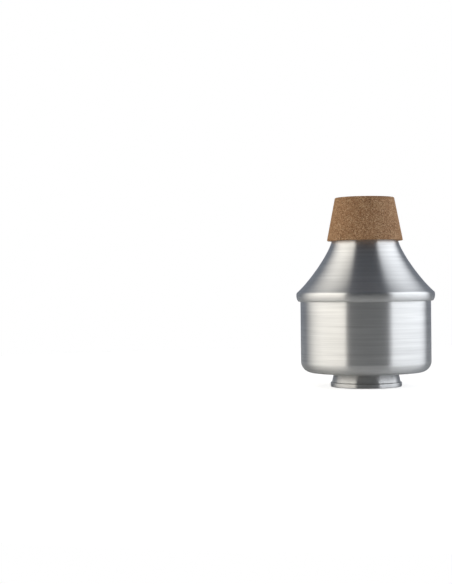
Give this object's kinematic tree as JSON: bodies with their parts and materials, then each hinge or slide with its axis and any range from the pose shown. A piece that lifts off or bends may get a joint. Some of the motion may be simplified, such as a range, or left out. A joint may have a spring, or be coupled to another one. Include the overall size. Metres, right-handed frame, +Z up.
{
  "type": "trumpet wah-wah mute",
  "caption": "Spun aluminium wah-wah mute for a trumpet, with a tapered cork collar, a rolled seam and a cupped stem that slides in a cork-lined guide.",
  "frame": {"origin": "centre of the surface that the mute stands on, below the middle of the rim of the stem's cup, with the stem pushed home", "axes": "+Z up the axis of revolution, from the stem's cup to the cork collar; X and Y are any two directions square to it"},
  "size_m": [0.091, 0.091, 0.1244],
  "materials": {
    "cork": "matte, fine-grained agglomerated cork",
    "spun_aluminium": "satin, with fine turning lines round the axis",
    "drawn_aluminium": "smooth satin"
  },
  "bodies": {
    "mute_body": {"cork_collar": "cork", "upper_shell": "spun_aluminium", "lower_shell": "spun_aluminium", "guide_sleeve": "drawn_aluminium", "guide_lining": "cork"},
    "stem": {"stem_tube": "drawn_aluminium", "stem_ferrule": "drawn_aluminium", "stem_cup": "spun_aluminium"}
  },
  "joints": [
    {"name": "stem_slide", "type": "slide", "parent": "stem", "child": "mute_body", "axis": [0, 0, 1], "range_m": [0, 0.064]}
  ]
}
